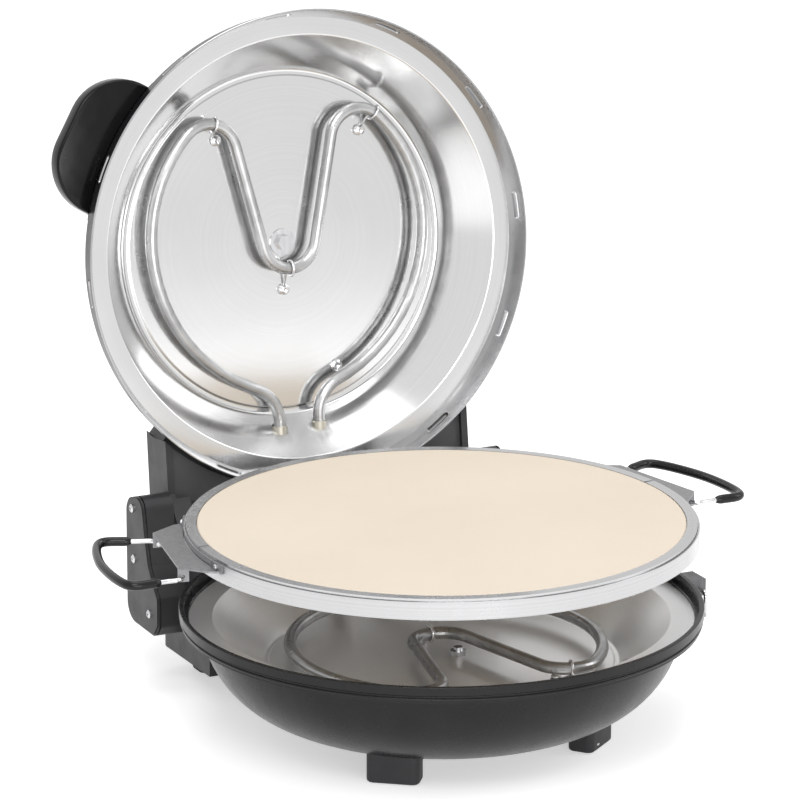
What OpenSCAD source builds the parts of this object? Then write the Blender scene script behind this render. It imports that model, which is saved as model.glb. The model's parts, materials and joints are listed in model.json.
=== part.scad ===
// Countertop pizza oven: spun steel bowl, domed lid on a rear hinge, heart-shaped
// heating elements above and below, and a stone tray with folding wire handles.
// Millimetres, +Z up, counter at z = 0. The hinge is at +Y, the open front at -Y.

/* [Base bowl] */
// Height of the reflector flange above the counter
flange_h = 78; // [72:1:90]
// Outer radius of the bowl wall where it meets the lip
bowl_r = 154; // [150:1:156]
// Radius of the rounded corner between bowl wall and bowl floor
bowl_corner_r = 65; // [40:1:70]
// Depth of the bowl floor below the flange
bowl_depth = 62; // [55:1:64]
// Sheet thickness of the bowl and of the lid dome
sheet_t = 1.2; // [0.8:0.1:2]
// Outer radius of the rolled lip
lip_r = 167; // [166:0.5:172]
// Radial width of the flat ring on top of the lip
lip_top_w = 3.2; // [2:0.1:3.4]
// Rise of the lip above the flange
lip_rise = 8; // [6:0.5:10]
// Height of the ledge that carries the tray, above the flange
ledge_rise = 2; // [1:0.5:4]

/* [Reflector pans] */
// Outer radius of the flat flange
pan_flange_r = 160.8; // [156:0.2:161]
// Radius of the pan wall
pan_r = 145.7; // [140:0.1:148]
// Radius of the rounded pan corner
pan_corner_r = 26; // [15:1:28]
// Depth of the pan
pan_depth = 30; // [28:1:34]
// Sheet thickness of the pans
pan_t = 0.8; // [0.6:0.1:1.2]
// Radius and height of the pressed step round the pan floor
pan_step_r = 113; // [108:1:116]
pan_step_h = 1.2; // [0.6:0.1:2]

/* [Heating elements] */
// Tube radius
tube_r = 4; // [3:0.1:5]
// Depth of the tube's centreline below the pan flange
tube_depth = 18; // [14:1:20]
// Radius of the outer bends beside the lobes and the offset of their centres
loop_r = 100.8; // [95:0.1:104]
loop_off = 2; // [0:0.5:6]
loop_shift = 7.5; // [4:0.5:9]
// Radius of the outer bends beside the terminals
low_r = 109.8; // [106:0.1:112]
// Radius of the two lobes and the distance of their centres from the middle
lobe_r = 20.3; // [18:0.1:22]
lobe_x = 54.6; // [52:0.1:57]
// Radius of the middle bend and its centre, measured from the pan's centre
vee_r = 19.1; // [16:0.1:21]
vee_y = 2.7; // [0:0.1:6]
// Spacing and bend radius of the two terminals
terminal_gap = 28.9; // [26:0.1:32]
terminal_bend_r = 24; // [16:1:28]
// Distance of the terminal ends from the pan's centre
terminal_end = 145.8; // [145:0.1:146]
// Outer radius and length of the bushes that hold the terminals in the pan wall
ferrule_r = 6.2; // [5.6:0.1:6.4]
ferrule_len = 11.5; // [11:0.1:11.6]

/* [Tray] */
// Radius and thickness of the stone
stone_r = 155; // [150:0.5:156]
stone_t = 11.95; // [8:0.05:14]
// Outer radius of the tray ring and of the hoop round it
ring_wall_r = 162; // [158:0.1:162.1]
hoop_r = 163.4; // [162.8:0.1:163.5]
// Step from the hoop's top edge up to the ring's brim
hoop_step = 1.8; // [0.8:0.1:3]
// Sheet thickness of the tray ring and of the brackets
ring_t = 1.2; // [0.8:0.1:1.5]
// Height by which the tray is lifted out of its seat
lift_h = 47.5; // [30:0.5:50]
// Angle of the handles behind the crosswise axis
handle_back_a = 11.6; // [0:0.1:20]
// Half the distance between the handle's two pivot holes
hook_half = 34; // [28:1:40]
// Distance of the pivot axis from the tray's centre, and its drop below the bracket plate
hook_u = 176; // [174:1:180]
hook_drop = 5.6; // [4:0.1:8]
// Wire radius, grip radius and reach of the wire handle
wire_r = 1.5; // [1.2:0.1:2]
grip_r = 3; // [2.4:0.1:4]
handle_reach = 44; // [34:1:55]

/* [Lid] */
// Radius of the lid's rim
rim_r = 158; // [157:0.2:160]
// Depth of the slotted collar
collar_h = 19; // [16:0.5:24]
// Number of steps of the vent slots, their length, width and distance from the rim
slot_steps = 12; // [8:1:16]
slot_len = 20; // [14:1:26]
slot_w = 6.4; // [4.5:0.1:8]
slot_edge = 3.8; // [2:0.1:6]
// Turn of the slot ring from the front
slot_phase = 26; // [0:1:30]
// Half-width of the opening at the back of the collar
collar_gap_half = 62; // [61:1:70]
// Height of the dome above the rim and its corner radius
dome_h = 68; // [66:1:76]
dome_corner_r = 45; // [30:1:55]
// Opening angle of the lid
open_a = 97; // [97:1:100]

/* [Hinge] */
// Hinge axis behind the base axis and above the flange
hinge_y = 174; // [172:1:178]
hinge_z = 22; // [20:1:25]
// Half-width of the lid's hinge block
block_half = 110; // [100:1:112]
// Width of the hinge boxes on the base, with their covers
box_w = 20.4; // [18:0.2:24]
cover_t = 1.6; // [1.2:0.1:3]
// Hinge pin radius and its running clearance in the lid's arms
pin_r = 5; // [4:0.25:6]
pin_clear = 0.06; // [0.02:0.01:0.1]

/* [Hidden] */
$fn = 64;
eps = 0.01;
F = flange_h;
axis_y = -52;
gap = 0.3;
rim_z = F + 16;
seat_z = F + ledge_rise + gap;
stone_z = seat_z + ring_t + 0.05;
brim_z = seat_z + ring_t + 0.05 + stone_t;
plate_z = F + lip_rise + 0.5;
hz = F + hinge_z;
screw_r = 1.5;
hole_r = 1.6;
lobe_y = loop_shift + sqrt(pow(loop_r - lobe_r, 2) - pow(lobe_x + loop_off, 2));
leg_a = atan2(lobe_y - vee_y, lobe_x)
    + asin((lobe_r + vee_r) / norm([lobe_x, lobe_y - vee_y]));
term_x = terminal_gap / 2 + terminal_bend_r;
low_x = loop_r - loop_off - low_r;
term_y = loop_shift - sqrt(pow(low_r + terminal_bend_r, 2) - pow(term_x - low_x, 2));
lobe_a = atan2(lobe_y - loop_shift, lobe_x + loop_off);
term_a = atan2(term_y - loop_shift, term_x - low_x);
// Steps of the lobe's arc, and the angle of each step about the lobe's centre
lobe_n = 16;
function lobe_step(k) = 90 + leg_a + (lobe_a - 90 - leg_a) * k / lobe_n;
// Clips on a heating element: [ring x, ring y, tube direction, screw x, screw y],
// with y counted from the pan's centre away from the hinge
clips = [
    [-lobe_x - lobe_r * cos(lobe_step(8)), lobe_y + lobe_r * sin(lobe_step(8)),
        90 - lobe_step(8), -44.5, 72.5],
    [lobe_x + lobe_r * cos(lobe_step(15)), lobe_y + lobe_r * sin(lobe_step(15)),
        lobe_step(15) - 90, 60, 69],
    [0, vee_y - vee_r, 0, -1.5, -31.5]];
spare_screw = [34, -87];

// ---------- small helpers ----------

module box2(x0, x1, y0, y1) {
  translate([x0, y0]) square([x1 - x0, y1 - y0]);
}

module box3(x0, x1, y0, y1, z0, z1) {
  translate([x0, y0, z0]) cube([x1 - x0, y1 - y0, z1 - z0]);
}

// Quarter of a ring section about [cx, cz], between angles 0 and 90 times the signs given
module corner2(cx, cz, r_out, r_in, sx, sz) {
  translate([cx, cz])
    scale([sx, sz])
      intersection() {
        difference() {
          circle(r = r_out);
          circle(r = r_in);
        }
        square(r_out + 1);
      }
}

// Plane outline with its corners rounded to r
module rounded2(w, h, r) {
  translate([r, 0]) square([w - 2 * r, h]);
  translate([0, r]) square([w, h - 2 * r]);
  for (x = [r, w - r], y = [r, h - r]) translate([x, y]) circle(r = r);
}

function unit(v) = v / norm(v);
function corner_half(p, q, r) = acos(unit(p - q) * unit(r - q)) / 2;

// Polygon with each corner i rounded by an arc of radius radii[i]. The corners are convex
// where a radius is given.
module round_poly(pts, radii) {
  n = len(pts);
  polygon([for (i = [0 : n - 1])
      let (q = pts[i], a = pts[(i + n - 1) % n], b = pts[(i + 1) % n],
          t = radii[i] / tan(corner_half(a, q, b)))
        for (k = [0, 1]) q + unit((k == 0 ? a : b) - q) * t]);
  for (i = [0 : n - 1])
    if (radii[i] > 0) {
      q = pts[i];
      a = pts[(i + n - 1) % n];
      b = pts[(i + 1) % n];
      c = q + unit(unit(a - q) + unit(b - q)) * radii[i] / sin(corner_half(a, q, b));
      translate(c) circle(r = radii[i]);
    }
}

// Straight rod between two points
module rod(p, q, r) {
  d = q - p;
  l = norm(d);
  translate(p)
    rotate([0, acos(d[2] / l), atan2(d[1], d[0])])
      cylinder(r = r, h = l);
}

// Bent rod: a part of a torus about +Z
module bend(c, radius, a0, a1, r) {
  translate(c)
    rotate([0, 0, a0])
      rotate_extrude(angle = a1 - a0)
        translate([radius, 0]) circle(r = r);
}

module ring(radius, r) {
  rotate_extrude() translate([radius, 0]) circle(r = r);
}

// Cross-recess pan-head screw, head on top of z = 0 and shank below
module pan_screw(head_r, head_h, shank) {
  difference() {
    union() {
      cylinder(r = head_r, h = head_h * 0.55);
      translate([0, 0, head_h * 0.55 - eps])
        cylinder(r1 = head_r, r2 = head_r * 0.62, h = head_h * 0.45 + eps);
      translate([0, 0, -shank]) cylinder(r = screw_r, h = shank + eps);
    }
    for (a = [0, 90])
      rotate([0, 0, a])
        translate([-head_r * 0.55, -0.35, head_h * 0.45])
          cube([head_r * 1.1, 0.7, head_h]);
  }
}

// Puts children at the lid's place: built shut, turned up about the hinge axis
module on_lid() {
  translate([0, hinge_y, hz])
    rotate([-open_a, 0, 0])
      translate([0, -hinge_y, -hz])
        children();
}

// Puts children at the lifted tray
module on_tray() {
  translate([0, 0, lift_h]) children();
}

// Puts children at a tray side: local +X points outward, +Y runs along the rim
module at_side(s) {
  mirror([s < 0 ? 1 : 0, 0, 0])
    rotate([0, 0, handle_back_a])
      children();
}

// ---------- heating elements ----------

// Points of an arc about c, from angle a0 to a1 in n steps
function arc_points(c, r, a0, a1, n) =
  [for (i = [0 : n]) let (a = a0 + (a1 - a0) * i / n) [c[0] + r * cos(a), c[1] + r * sin(a)]];

// Centreline of half the heart, from its middle bend round to the terminal's end
half_line = concat(
    arc_points([0, vee_y], vee_r, 270, 270 + leg_a, 10),
    arc_points([lobe_x, lobe_y], lobe_r, lobe_step(0), lobe_step(lobe_n), lobe_n),
    arc_points([-loop_off, loop_shift], loop_r, lobe_a - 4, 4, 7),
    arc_points([low_x, loop_shift], low_r, -1, term_a + 4, 11),
    arc_points([term_x, term_y], terminal_bend_r, 180 + term_a, 180, 7),
    [[terminal_gap / 2, -terminal_end]]);
heart_line = concat(
    [for (i = [len(half_line) - 1 : -1 : 1]) [-half_line[i][0], half_line[i][1]]],
    half_line);

// Direction of a line at its point i
function heading(pts, i) =
  let (q = pts[min(i + 1, len(pts) - 1)] - pts[max(i - 1, 0)]) q / norm(q);

// Round tube swept along a flat line
module tube_along(pts, r, sides) {
  n = len(pts);
  rings = [for (i = [0 : n - 1], k = [0 : sides - 1])
      let (t = heading(pts, i), a = 360 * k / sides)
        [pts[i][0] - t[1] * r * cos(a), pts[i][1] + t[0] * r * cos(a), r * sin(a)]];
  walls = [for (i = [0 : n - 2], k = [0 : sides - 1])
      let (a = i * sides + k, b = i * sides + (k + 1) % sides)
        [a, b, b + sides, a + sides]];
  ends = [[for (k = [sides - 1 : -1 : 0]) k], [for (k = [0 : sides - 1]) (n - 1) * sides + k]];
  polyhedron(points = rings, faces = concat(walls, ends), convexity = 6);
}

module element() {
  rotate([0, 0, 180]) tube_along(heart_line, tube_r, 16);
}

// Inner radius of the pan's rounded wall at depth d below the flange
function pan_in(d) = pan_r - pan_corner_r
    + sqrt(pow(pan_corner_r, 2) - pow(max(0, d - pan_corner_top()), 2));

// Bushes that hold the terminals in the pan wall
module ferrules() {
  low = pan_in(tube_depth + ferrule_r);
  for (s = [-1, 1])
    translate([s * terminal_gap / 2, sqrt(pow(low, 2) - pow(terminal_gap / 2, 2)) - 1.2, 0])
      rotate([-90, 0, 0])
        difference() {
          cylinder(r = ferrule_r, h = ferrule_len);
          translate([0, 0, -1]) cylinder(r = tube_r + 0.05, h = ferrule_len + 2);
        }
}

function pan_corner_top() = pan_depth - pan_corner_r;

// Wire clips: a loop round the tube, a leg from below the tube down to the floor and an
// eye under the screw's head. The floor is at -drop.
clip_wire = 0.9;
clip_loop = tube_r + clip_wire + 0.08;
clip_eye = 2.9;

module clip_wires(drop) {
  low = -drop + clip_wire + 0.05;
  for (c = clips)
    rotate([0, 0, 180]) {
      u = unit([c[3] - c[0], c[4] - c[1]]);
      translate([c[0], c[1], 0]) rotate([90, 0, 90 + c[2]]) ring(clip_loop, clip_wire);
      rod([c[0], c[1], -clip_loop + 0.05],
          [c[3] - u[0] * (clip_eye - 0.1), c[4] - u[1] * (clip_eye - 0.1), low], clip_wire);
      translate([c[3], c[4], low]) ring(clip_eye, clip_wire);
    }
}

module clip_screws(drop) {
  for (c = clips)
    rotate([0, 0, 180])
      translate([c[3], c[4], -drop + 2.2])
        pan_screw(3.2, 2.2, 6.5);
}

module spare_screw_at(drop) {
  rotate([0, 0, 180])
    translate([spare_screw[0], spare_screw[1], -drop + 0.02])
      pan_screw(4, 2.4, 4.5);
}

module screw_places() {
  for (c = clips)
    rotate([0, 0, 180]) translate([c[3], c[4], 0]) children();
}

// ---------- reflector pan, flange top at z = 0, open upward ----------

module pan_section(flange_r) {
  box2(pan_r, flange_r, -pan_t, 0);
  box2(pan_r, pan_r + pan_t, -pan_corner_top(), 0);
  corner2(pan_r - pan_corner_r, -pan_corner_top(), pan_corner_r + pan_t, pan_corner_r, 1, -1);
  box2(pan_step_r, pan_r - pan_corner_r, -pan_depth - pan_t, -pan_depth);
  box2(pan_step_r, pan_step_r + pan_t, -pan_depth - pan_t, -pan_depth + pan_step_h);
  box2(0, pan_step_r + pan_t, -pan_depth + pan_step_h - pan_t, -pan_depth + pan_step_h);
}

module pan(flange_r) {
  difference() {
    rotate_extrude() pan_section(flange_r);
    for (s = [-1, 1])
      translate([s * terminal_gap / 2, 100, -tube_depth])
        rotate([-90, 0, 0])
          cylinder(r = ferrule_r + 0.05, h = 60);
    screw_places()
      translate([0, 0, -pan_depth - 2]) cylinder(r = hole_r, h = 6);
    rotate([0, 0, 180])
      translate([spare_screw[0], spare_screw[1], -pan_depth - 2]) cylinder(r = hole_r, h = 6);
    translate([0, 0, -pan_depth - 2]) cylinder(r = 3.1, h = 6);
  }
}

// ---------- base ----------

foot_places = [[-70, -76, -42], [70, -76, 42], [-76, 176, 0], [76, 176, 0]];
foot_top = F - bowl_depth;

module bowl_section() {
  cx = bowl_r - bowl_corner_r;
  cz = F - bowl_depth + bowl_corner_r;
  intersection() {
    corner2(cx, cz, bowl_corner_r, bowl_corner_r - sheet_t, 1, -1);
    box2(0, bowl_r + 1, 0, F - pan_t - 0.4);
  }
  box2(0, cx, F - bowl_depth, F - bowl_depth + sheet_t);
  lip_section();
}

// Rolled lip with the stepped seat inside
module lip_section() {
  inner = bowl_r - sheet_t - 1;
  step_r = pan_flange_r + 0.2;
  top_r = lip_r - lip_top_w;
  box2(inner, step_r + 1, F - pan_t - 2, F - pan_t);
  box2(step_r, lip_r - 1.4, F - pan_t - 2, F + ledge_rise);
  box2(top_r, lip_r - 1.4, F + ledge_rise - 1, F + lip_rise - 4);
  box2(top_r, lip_r, F + lip_rise - 5.5, F + lip_rise - 0.6);
  box2(top_r + 0.6, lip_r - 0.6, F + lip_rise - 1, F + lip_rise);
  translate([top_r + 0.6, F + lip_rise - 0.6]) circle(r = 0.6);
  translate([lip_r - 0.6, F + lip_rise - 0.6]) circle(r = 0.6);
  translate([lip_r - 1.4, F - 0.4]) circle(r = 0.9);
  translate([lip_r - 1.4, F + 1.6]) circle(r = 0.7);
}

module base_shell() {
  color([0.10, 0.10, 0.11])
    difference() {
      rotate_extrude() bowl_section();
      for (p = [foot_places[0], foot_places[1]])
        translate([p[0], p[1], foot_top - 4]) cylinder(r = hole_r, h = 14);
      translate([sensor_x, 0, F - bowl_depth - 1]) cylinder(r = 3.1, h = 4);
    }
}

module base_reflector() {
  color([0.80, 0.80, 0.82])
    difference() {
      translate([0, 0, F]) pan(pan_flange_r);
      translate([sensor_x, 0, F - pan_depth - 2]) cylinder(r = 3.1, h = 6);
    }
}

module lower_element() {
  color([0.50, 0.50, 0.52]) translate([0, 0, F - tube_depth]) element();
}

module lower_ferrules() {
  color([0.70, 0.68, 0.62]) translate([0, 0, F - tube_depth]) ferrules();
}

module lower_clips() {
  color([0.72, 0.72, 0.74])
    translate([0, 0, F - tube_depth]) clip_wires(pan_depth - tube_depth - pan_step_h);
}

module lower_clip_screws() {
  color([0.78, 0.78, 0.80])
    translate([0, 0, F - tube_depth]) clip_screws(pan_depth - tube_depth - pan_step_h);
}

// Tie stud that holds the pan down to the bowl floor, beside the middle bend
sensor_x = 12;

module sensor_stud() {
  color([0.74, 0.74, 0.76])
    translate([sensor_x, 0, 0]) {
      translate([0, 0, F - bowl_depth - 1.5]) cylinder(r = 3, h = bowl_depth - pan_depth + 8);
      translate([0, 0, F - pan_depth + pan_step_h]) cylinder(r = 5.6, h = 3, $fn = 6);
      translate([0, 0, F - bowl_depth - 2.4]) cylinder(r = 5.6, h = 2.4, $fn = 6);
    }
}

// Tapered block foot with a rounded top edge, standing on z = 0
module foot() {
  h = foot_top;
  difference() {
    hull() {
      for (x = [-16, 16], y = [-6, 6])
        translate([x, y, 0]) cylinder(r = 4, h = 1, $fn = 32);
      for (x = [-18, 18], y = [-7.5, 7.5])
        translate([x, y, h - 1.5]) cylinder(r = 4, h = 1, $fn = 32);
    }
    translate([0, 0, -1]) cylinder(r = 4.4, h = 6);
    cylinder(r = hole_r, h = h + 2);
  }
}

module feet() {
  color([0.12, 0.12, 0.13])
    difference() {
      for (p = foot_places)
        translate([p[0], p[1], 0]) rotate([0, 0, p[2]]) foot_full(p[1]);
      rotate_extrude() bowl_room();
      for (p = foot_places)
        translate([p[0], p[1], 1]) cylinder(r = hole_r, h = foot_top + 10);
    }
}

// A foot tall enough to reach the surface above it
module foot_full(y) {
  foot();
  if (y < 0)
    translate([-22, -11.5, foot_top - 1]) foot_pad();
}

// Upper pad of a front foot, shaped to the bowl by the cut in feet()
module foot_pad() {
  translate([4, 4, 0]) linear_extrude(6) rounded2(36, 15, 4);
}

module bowl_room() {
  cx = bowl_r - bowl_corner_r;
  cz = F - bowl_depth + bowl_corner_r;
  intersection() {
    translate([cx, cz]) circle(r = bowl_corner_r);
    box2(cx, bowl_r + 1, 0, cz);
  }
  box2(0, cx, F - bowl_depth, cz);
}

module foot_screws() {
  color([0.6, 0.6, 0.62])
    for (p = foot_places)
      translate([p[0], p[1], 4.95]) mirror([0, 0, 1]) pan_screw(3.6, 2.2, foot_top - 1);
}

// ---------- rear housing and hinge boxes ----------

house_half = block_half - 1;
house_back = 197;
house_top = F + 6;

module rear_housing() {
  color([0.10, 0.10, 0.11])
    difference() {
      translate([0, 0, foot_top])
        linear_extrude(house_top - foot_top)
          difference() {
            translate([-house_half, 100]) rounded2(2 * house_half, house_back - 100, 10);
            box2(-200, 200, 0, 118);
          }
      // Seat against the bowl and round its lip
      rotate_extrude() {
        bowl_room();
        box2(0, bowl_r, F - bowl_depth + bowl_corner_r - eps, F + 20);
        box2(0, lip_r + 0.1, F - 3.2, F + 20);
      }
      // Chamfered top edge at the back
      translate([0, house_back, house_top])
        rotate([45, 0, 0]) cube([300, 8, 8], center = true);
      for (p = [foot_places[2], foot_places[3]])
        translate([p[0], p[1], foot_top - 1]) cylinder(r = hole_r, h = 12);
      // Mouth of the appliance inlet, knob spindle and lamp seats in the back wall
      translate([inlet_x, house_back + 1, ctl_z])
        rotate([90, 0, 0])
          translate([-14.2, -10.2, 0]) linear_extrude(25) rounded2(28.4, 20.4, 3);
      translate([knob_x, house_back + 1, ctl_z])
        rotate([90, 0, 0]) cylinder(r = 3 + pin_clear, h = 20);
      translate([lamp_x, house_back + 1, ctl_z])
        rotate([90, 0, 0]) cylinder(r = 4.05, h = 12);
      for (x = [-96, 96], z = [F - 46, F - 8])
        translate([x, house_back + 1, z])
          rotate([90, 0, 0]) cylinder(r = hole_r, h = 14);
    }
}

ctl_z = F - 26;
inlet_x = -52;
lamp_x = 28;
knob_x = 62;

module housing_screws() {
  color([0.6, 0.6, 0.62])
    for (x = [-96, 96], z = [F - 46, F - 8])
      translate([x, house_back + 0.02, z]) rotate([-90, 0, 0]) pan_screw(3.2, 2, 8);
}

// Side outline of a hinge box in the plane across the hinge, y to the right, z up
module box_outline(inset) {
  i = inset;
  round_poly([[172 + i, F + 49.5 - i], [197.5 - i, F + 41 - i], [197.5 - i, F - 41 + i],
      [154 + i, F - 42 + i], [147.3 + i, F - 34 + i], [147.3 + i, F - 15],
      [155 + i, F - 6], [161.5 + i, F + 4], [166.5 + i, F + 21]],
      [9, 10, 12, 5, 5, 4, 0, 0, 0]);
}

module hinge_box_solid(x0, x1, inset) {
  translate([x0, 0, 0])
    rotate([90, 0, 90])
      linear_extrude(x1 - x0)
        box_outline(inset);
}

box_screw_places = [[186, F + 37], [184, F + 3], [160, F - 28]];

module hinge_box(s) {
  color([0.13, 0.13, 0.14])
    mirror([s < 0 ? 1 : 0, 0, 0])
      difference() {
        union() {
          hinge_box_solid(block_half + 0.5, block_half + box_w - 0.5, 0);
          // Narrow groove between the box and its cover
          hinge_box_solid(block_half + box_w - 1, block_half + 0.5 + box_w - 0.02, 1.2);
        }
        translate([block_half - 1, hinge_y, hz])
          rotate([0, 90, 0]) cylinder(r = pin_r + 0.02, h = 14);
        for (p = box_screw_places)
          translate([block_half + box_w - 9, p[0], p[1]])
            rotate([0, 90, 0]) cylinder(r = hole_r, h = 12);
        // Room for the rear housing's flank
        box3(house_half - 20, house_half + 0.05, 0, house_back + 10, 0, house_top + 1);
      }
  // Boss that bridges to the rear housing
  color([0.13, 0.13, 0.14])
    mirror([s < 0 ? 1 : 0, 0, 0])
      box3(house_half + 0.05, block_half + 0.6, 152, 192, F - 36, F + 4);
}

module box_cover(s) {
  color([0.11, 0.11, 0.12])
    mirror([s < 0 ? 1 : 0, 0, 0])
      difference() {
        union() {
          hinge_box_solid(block_half + 0.5 + box_w, block_half + 1.3 + box_w, 0);
          hinge_box_solid(block_half + 1.2 + box_w, block_half + 0.5 + box_w + cover_t, 1);
        }
        for (p = box_screw_places)
          translate([block_half + box_w - 1, p[0], p[1]])
            rotate([0, 90, 0]) cylinder(r = hole_r, h = 12);
      }
}

module box_cover_screws() {
  color([0.75, 0.75, 0.77])
    for (s = [-1, 1])
      mirror([s < 0 ? 1 : 0, 0, 0])
        for (p = box_screw_places)
          translate([block_half + 0.52 + box_w + cover_t, p[0], p[1]])
            rotate([0, 90, 0]) pan_screw(2.8, 1.8, 8);
}

module hinge_pins() {
  color([0.7, 0.7, 0.72])
    for (s = [-1, 1])
      mirror([s < 0 ? 1 : 0, 0, 0])
        translate([block_half - 11, hinge_y, hz]) rotate([0, 90, 0]) cylinder(r = pin_r, h = 22);
}

// Small folded lug on each side of the lip, with a wire hook through its front ear
lug_y0 = -24;
lug_y1 = -6;

module side_lugs() {
  color([0.16, 0.16, 0.17])
    for (s = [-1, 1])
      mirror([s < 0 ? 1 : 0, 0, 0])
        difference() {
          union() {
            box3(164, 179, lug_y0, lug_y1, F + 4, F + 4 + ring_t);
            box3(169, 179, lug_y0, lug_y0 + ring_t, F - 6, F + 5);
            box3(169, 179, lug_y1 - ring_t, lug_y1, F - 3, F + 5);
          }
          cylinder(r = lip_r + 0.02, h = 200);
          translate([174.5, lug_y0 - 5, F - 1.5])
            rotate([-90, 0, 0]) cylinder(r = wire_r + 0.1, h = 40);
        }
}

module lug_hooks() {
  color([0.75, 0.75, 0.77])
    for (s = [-1, 1])
      mirror([s < 0 ? 1 : 0, 0, 0])
        translate([174.5, lug_y0 - 5, F - 1.5]) {
          rotate([-90, 0, 0]) cylinder(r = wire_r, h = lug_y1 - lug_y0 + 8);
          rotate([0, 90, 0]) bend([3, 0, 0], 3, 180, 270, wire_r);
          rod([0, -3, -3], [0, -3, -16], wire_r);
        }
}

// ---------- controls on the back ----------

module power_inlet() {
  color([0.08, 0.08, 0.09])
    translate([inlet_x, house_back + 1.6, ctl_z])
      rotate([90, 0, 0])
        difference() {
          union() {
            translate([-17, -13, 0]) linear_extrude(1.5) rounded2(34, 26, 4);
            translate([-14, -10, 1.5 - eps]) linear_extrude(22) rounded2(28, 20, 3);
          }
          translate([-12, -8, -1]) linear_extrude(19) rounded2(24, 16, 2.5);
          for (x = [-7, 0, 7])
            translate([x, x == 0 ? 3 : -2.5, 10]) cylinder(r = 1.62, h = 20);
        }
}

module inlet_pins() {
  color([0.75, 0.70, 0.50])
    translate([inlet_x, house_back + 1.6, ctl_z])
      rotate([90, 0, 0])
        for (x = [-7, 0, 7])
          translate([x, x == 0 ? 3 : -2.5, 5]) cylinder(r = 1.6, h = 17);
}

module indicator_lamp() {
  color([0.75, 0.15, 0.10])
    translate([lamp_x, house_back - 8, ctl_z])
      rotate([-90, 0, 0]) {
        cylinder(r = 4, h = 8.05);
        translate([0, 0, 8]) cylinder(r1 = 5.4, r2 = 3.8, h = 2.6);
      }
}

module thermostat_knob() {
  color([0.09, 0.09, 0.10])
    translate([knob_x, house_back + gap, ctl_z])
      rotate([-90, 0, 0])
        difference() {
          union() {
            translate([0, 0, -14]) cylinder(r = 3, h = 15);
            cylinder(r = 17, h = 3);
            translate([0, 0, 2.9]) cylinder(r = 14, h = 12);
          }
          for (a = [0 : 20 : 359])
            rotate([0, 0, a + 5]) translate([14.6, 0, 4]) cylinder(r = 1.4, h = 20);
          translate([-0.8, 4, 14.2]) cube([1.6, 9, 2]);
        }
}

// ---------- lid, built shut with its rim at rim_z ----------

dome_r = rim_r + 0.05 + sheet_t;
dome_top = rim_z + dome_h;
pan_top_z = rim_z + collar_h;

module dome_section() {
  cx = dome_r - dome_corner_r;
  cz = dome_top - dome_corner_r;
  box2(dome_r - sheet_t, dome_r, pan_top_z - 3, cz);
  corner2(cx, cz, dome_corner_r, dome_corner_r - sheet_t, 1, 1);
  box2(0, cx, dome_top - sheet_t, dome_top);
}

// The dome's outer shape, to fit other pieces against it
module dome_room(extra) {
  cx = dome_r - dome_corner_r;
  cz = dome_top - dome_corner_r;
  rotate_extrude() {
    box2(0, dome_r + extra, rim_z - 20, cz);
    intersection() {
      translate([cx, cz]) circle(r = dome_corner_r + extra);
      box2(cx, dome_r + 5, cz, dome_top + 5);
    }
    box2(0, cx, cz, dome_top + extra);
  }
}

module lid_dome() {
  color([0.07, 0.07, 0.08])
    on_lid()
      difference() {
        rotate_extrude() dome_section();
        translate([0, 0, dome_top - 5]) cylinder(r = 3.1, h = 10);
        block_screw_places() cylinder(r = hole_r, h = 20, center = true);
        handle_screw_places() cylinder(r = hole_r, h = 20, center = true);
      }
}

// Slotted collar: rim of the lid, open at the back where the hinge block closes it
module vent_collar() {
  color([0.20, 0.20, 0.21])
    on_lid()
      difference() {
        rotate_extrude() box2(rim_r - sheet_t, rim_r, rim_z, pan_top_z);
        for (i = [0 : slot_steps - 1])
          rotate([0, 0, -90 + slot_phase + i * 360 / slot_steps])
            translate([rim_r - 5, 0, rim_z + slot_edge + slot_w / 2])
              rotate([0, 90, 0]) {
                for (y = [-1, 1])
                  translate([0, y * (slot_len - slot_w) / 2, 0]) cylinder(r = slot_w / 2, h = 10);
                translate([-slot_w / 2, -(slot_len - slot_w) / 2, 0])
                  cube([slot_w, slot_len - slot_w, 10]);
              }
        box3(-collar_gap_half, collar_gap_half, 0, 200, rim_z - 1, pan_top_z - 1.2);
      }
}

module lid_reflector() {
  color([0.82, 0.82, 0.84])
    on_lid()
      translate([0, 0, pan_top_z]) mirror([0, 0, 1]) pan(rim_r - sheet_t - 0.05);
}

module upper_element() {
  color([0.50, 0.50, 0.52])
    on_lid() translate([0, 0, pan_top_z + tube_depth]) mirror([0, 0, 1]) element();
}

module upper_ferrules() {
  color([0.70, 0.68, 0.62])
    on_lid() translate([0, 0, pan_top_z + tube_depth]) mirror([0, 0, 1]) ferrules();
}

module upper_clips() {
  color([0.72, 0.72, 0.74])
    on_lid()
      translate([0, 0, pan_top_z + tube_depth])
        mirror([0, 0, 1]) clip_wires(pan_depth - tube_depth - pan_step_h);
}

module upper_clip_screws() {
  color([0.78, 0.78, 0.80])
    on_lid()
      translate([0, 0, pan_top_z + tube_depth])
        mirror([0, 0, 1]) {
          clip_screws(pan_depth - tube_depth - pan_step_h);
          spare_screw_at(pan_depth - tube_depth - pan_step_h);
        }
}

pan_floor_z = pan_top_z + pan_depth - pan_step_h;

module lid_centre_bolt() {
  color([0.74, 0.74, 0.76])
    on_lid() {
      translate([0, 0, pan_floor_z - 5]) cylinder(r = 3, h = dome_top - pan_floor_z + 7);
      translate([0, 0, pan_floor_z - 5.2]) cylinder(r = 5.4, h = 3.9, $fn = 6);
      translate([0, 0, dome_top + 0.02]) cylinder(r1 = 7, r2 = 4.5, h = 3);
    }
}

module lid_centre_washer() {
  color([0.80, 0.80, 0.82])
    on_lid()
      translate([0, 0, pan_floor_z - 1.25])
        difference() {
          cylinder(r = 9, h = 1.2);
          translate([0, 0, -1]) cylinder(r = 3.1, h = 4);
        }
}

// ---------- lid handle ----------

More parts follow.
